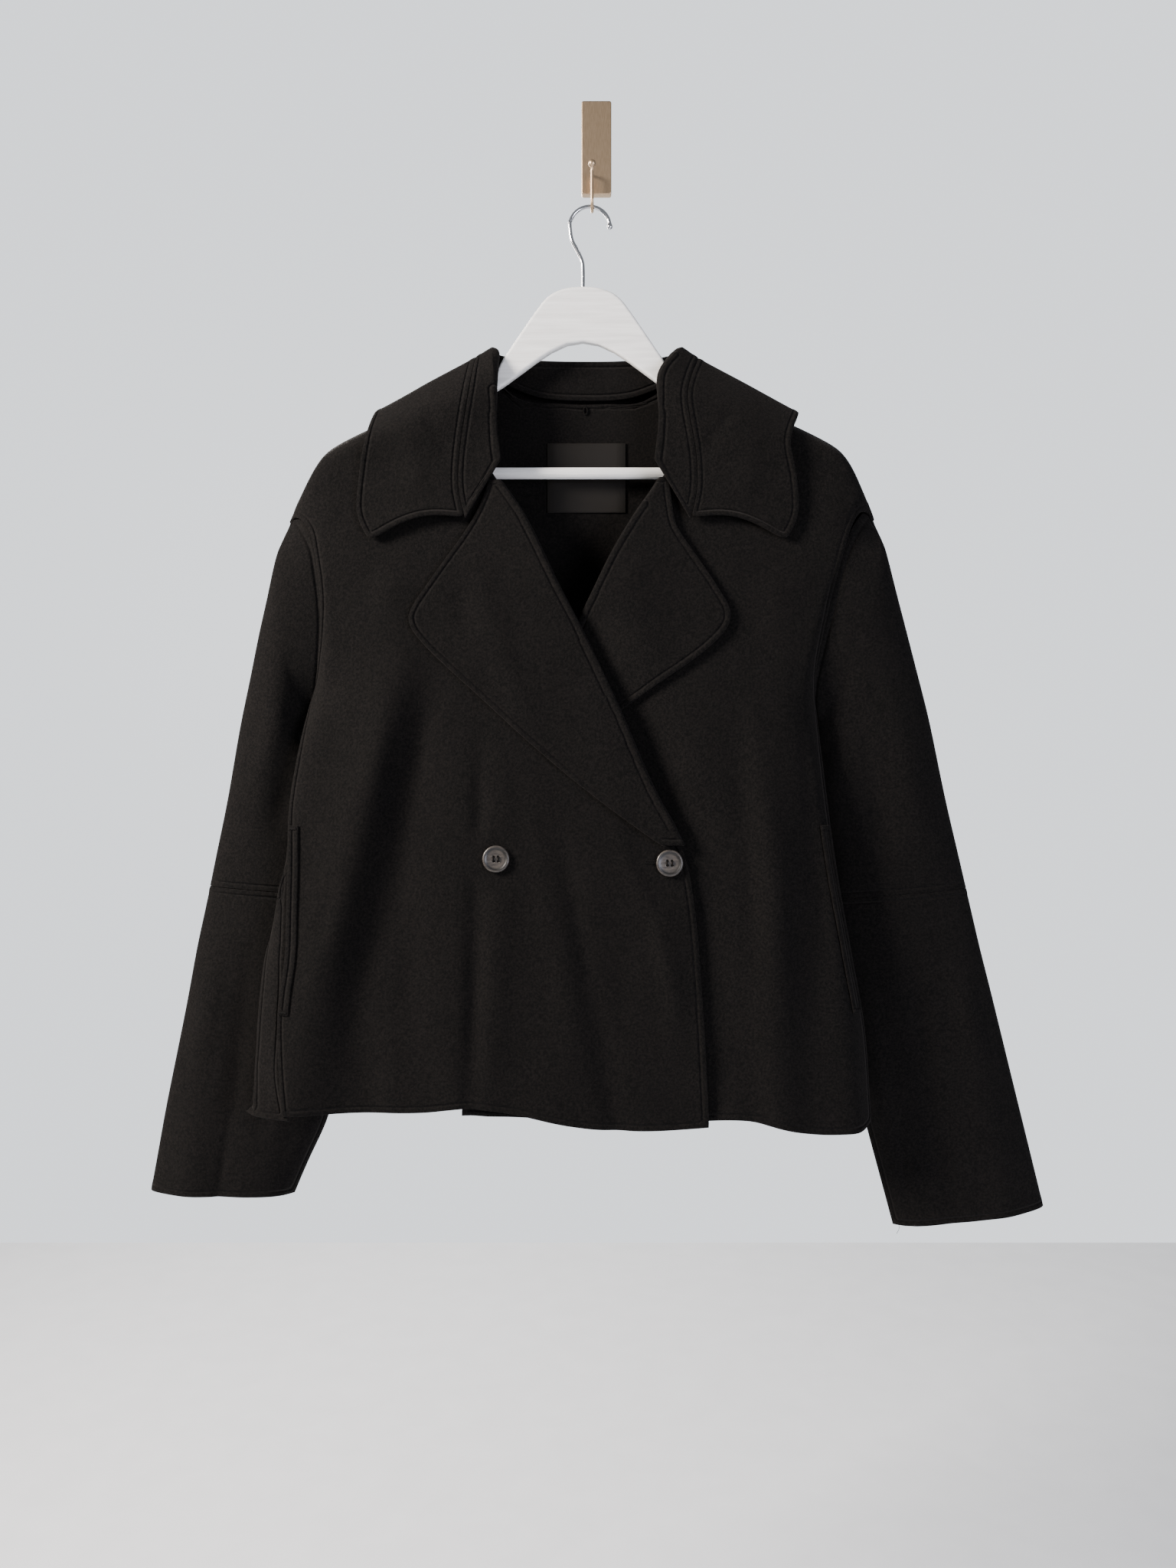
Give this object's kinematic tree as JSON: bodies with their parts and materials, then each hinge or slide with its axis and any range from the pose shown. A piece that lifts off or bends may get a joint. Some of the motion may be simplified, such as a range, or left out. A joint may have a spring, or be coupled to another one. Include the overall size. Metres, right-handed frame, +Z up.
{
  "type": "double-breasted jacket on a wooden hanger with a wall hook",
  "caption": "Short double-breasted wool jacket with wide lapels, hung on a white wooden hanger from a wall hook.",
  "frame": {"origin": "centre of the wall plate's back face", "axes": "+Y into the wall, +Z up, +X to the right of someone who looks at the jacket"},
  "size_m": [0.787, 0.0944, 1.004],
  "materials": {
    "wool": "felted nap",
    "label": "satin",
    "horn": "polished",
    "paint": "painted",
    "chrome": "bright",
    "satin_metal": "satin"
  },
  "bodies": {
    "root": {"front_right": "wool", "front_left": "wool", "back": "wool", "lapel_right": "wool", "lapel_left": "wool", "collar_stand": "wool", "collar_fall": "wool", "sleeve_right_upper": "wool", "sleeve_right_lower": "wool", "sleeve_left_upper": "wool", "sleeve_left_lower": "wool", "pocket_edge_right": "wool", "pocket_edge_left": "wool", "neck_loop": "wool", "neck_label": "label", "button_right": "horn", "button_left": "horn", "hanger_body": "paint", "hanger_bar": "paint", "hanger_hook": "chrome", "wall_plate": "satin_metal", "wall_hook": "satin_metal", "wall_hook_ball": "satin_metal"}
  },
  "joints": []
}
